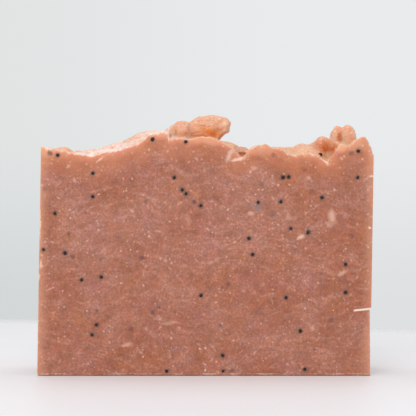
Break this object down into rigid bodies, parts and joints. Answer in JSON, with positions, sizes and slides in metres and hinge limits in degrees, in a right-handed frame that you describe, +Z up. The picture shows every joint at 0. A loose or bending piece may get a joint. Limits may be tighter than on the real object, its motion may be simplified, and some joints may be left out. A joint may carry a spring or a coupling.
{
  "type": "bar of soap",
  "caption": "Upright slab of hand-made soap, cut flat on its two large faces, with a rough whisked top, curls, and poppy seeds set in the surface.",
  "frame": {"origin": "middle of the flat base that the bar stands on, halfway between its outermost sides and halfway between the two cut faces", "axes": "+X along the width of the cut face, +Y from the front cut to the back cut, +Z up from the base to the whisked top"},
  "size_m": [0.0904, 0.0256, 0.0712],
  "materials": {
    "soap": "translucent cured soap, wire-cut smooth on the faces and crumbly on the top",
    "seed": "blue-black seed coat with a slight gloss"
  },
  "bodies": {
    "root": {"soap_bar": "soap", "poppy_seeds": "seed"}
  },
  "joints": []
}
